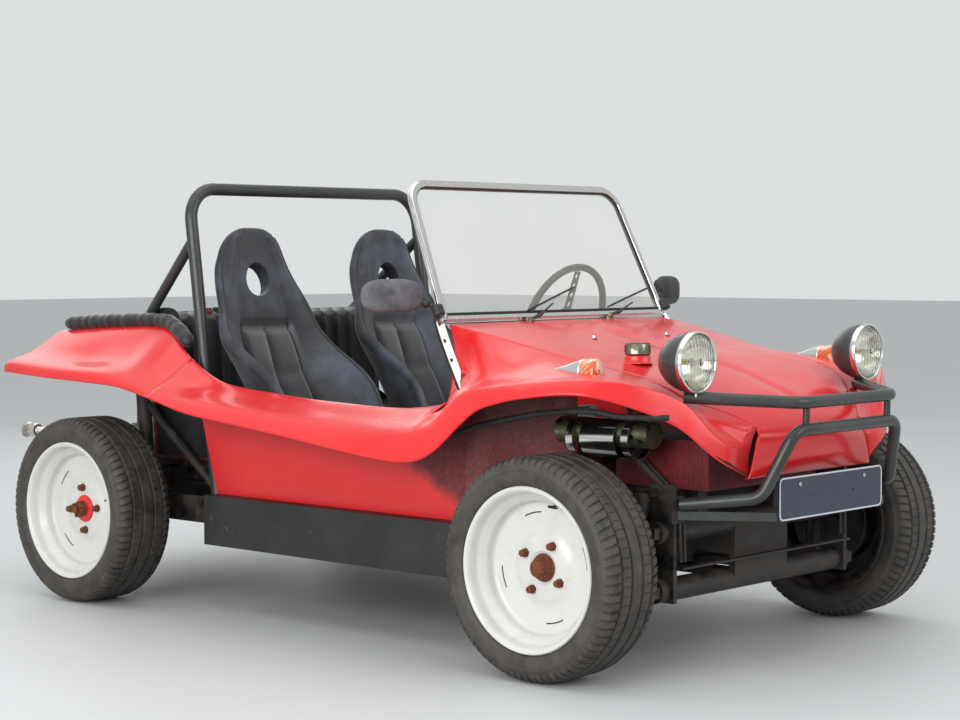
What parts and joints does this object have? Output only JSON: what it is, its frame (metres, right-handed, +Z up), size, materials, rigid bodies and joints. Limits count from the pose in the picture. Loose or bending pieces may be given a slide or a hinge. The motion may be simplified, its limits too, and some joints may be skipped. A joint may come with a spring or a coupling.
{
  "type": "dune buggy",
  "caption": "Open two-seat dune buggy: moulded body on a rear-engined floor pan, roll bar, windshield, steered front wheels and free-rolling wheels.",
  "frame": {"origin": "on the ground under the middle of the whole vehicle", "axes": "+X to the vehicle's left, -Y ahead, +Y to the rear, +Z up"},
  "size_m": [1.51, 2.921, 1.277],
  "materials": {
    "red_body": "gloss moulded panels",
    "maroon_shell": "dull textured inner shell",
    "black_sill": "scuffed satin",
    "chassis_black": "dirty satin",
    "cast_grey": "as cast, dirty",
    "engine_grey": "as cast, dirty",
    "exhaust_steel": "weathered",
    "canister_grey": "satin",
    "tank_red": "dull",
    "frame_silver": "weathered",
    "glass": "clear",
    "trim_black": "satin",
    "vinyl_black": "seat vinyl",
    "tube_black": "satin",
    "lamp_orange": "lens",
    "plate_dark": "blank",
    "wheel_white": "gloss, marked",
    "tyre_black": "worn"
  },
  "bodies": {
    "chassis": {"floor_pan": "chassis_black", "sills": "black_sill", "cockpit_walls": "maroon_shell", "bulkheads": "maroon_shell", "front_axle": "chassis_black", "rear_axle": "chassis_black", "gearbox": "cast_grey", "engine": "engine_grey", "exhaust": "exhaust_steel", "fuel_tank": "tank_red", "heater_canister": "canister_grey", "bonnet": "red_body", "nose_panel": "red_body", "front_fenders": "red_body", "body_sides": "red_body", "rear_body": "red_body", "windshield_frame": "frame_silver", "windshield_glass": "glass", "wipers": "trim_black", "dashboard": "trim_black", "steering_column": "chassis_black", "roll_bar": "tube_black", "seat_right": "vinyl_black", "seat_left": "vinyl_black", "rear_bench": "vinyl_black", "trim_roll": "vinyl_black", "levers": "trim_black", "headlights": "trim_black", "lamps": "lamp_orange", "mirrors": "trim_black", "bumper_bar": "tube_black", "bumper_hoop": "tube_black", "number_plate": "plate_dark"},
    "steering_wheel": {"steering_wheel": "trim_black"},
    "knuckle_right": {"knuckle_right": "chassis_black"},
    "knuckle_left": {"knuckle_left": "chassis_black"},
    "tie_rods": {"tie_rods": "chassis_black"},
    "wheel_front_right": {"rim_front_right": "wheel_white", "tyre_front_right": "tyre_black"},
    "wheel_front_left": {"rim_front_left": "wheel_white", "tyre_front_left": "tyre_black"},
    "wheel_rear_right": {"rim_rear_right": "wheel_white", "tyre_rear_right": "tyre_black"},
    "wheel_rear_left": {"rim_rear_left": "wheel_white", "tyre_rear_left": "tyre_black"}
  },
  "joints": [
    {"name": "steering_wheel_turn", "type": "hinge", "parent": "chassis", "child": "steering_wheel", "pos_m": [0.285, -0.256, 0.858], "axis": [0, 0.9397, 0.342], "range_deg": [-420, 420]},
    {"name": "steer_right", "type": "hinge", "parent": "chassis", "child": "knuckle_right", "pos_m": [-0.505, -1, 0.281], "axis": [0, 0, 1], "range_deg": [-30, 30]},
    {"name": "steer_left", "type": "hinge", "parent": "chassis", "child": "knuckle_left", "pos_m": [0.505, -1, 0.281], "axis": [0, 0, 1], "range_deg": [-30, 30]},
    {"name": "tie_rod_slide", "type": "slide", "parent": "chassis", "child": "tie_rods", "axis": [1, 0, 0], "range_m": [-0.0475, 0.0475]},
    {"name": "spin_front_right", "type": "hinge", "parent": "knuckle_right", "child": "wheel_front_right", "pos_m": [-0.66, -1, 0.281], "axis": [1, 0, 0], "continuous": true},
    {"name": "spin_front_left", "type": "hinge", "parent": "knuckle_left", "child": "wheel_front_left", "pos_m": [0.66, -1, 0.281], "axis": [1, 0, 0], "continuous": true},
    {"name": "spin_rear_right", "type": "hinge", "parent": "chassis", "child": "wheel_rear_right", "pos_m": [-0.66, 0.85, 0.281], "axis": [1, 0, 0], "continuous": true},
    {"name": "spin_rear_left", "type": "hinge", "parent": "chassis", "child": "wheel_rear_left", "pos_m": [0.66, 0.85, 0.281], "axis": [1, 0, 0], "continuous": true}
  ],
  "couplings": [
    {"joint": "steer_right", "follows": "steering_wheel_turn", "ratio": 0.071429},
    {"joint": "steer_left", "follows": "steering_wheel_turn", "ratio": 0.071429},
    {"joint": "tie_rod_slide", "follows": "steering_wheel_turn", "m_per_rad": -0.0064799}
  ]
}
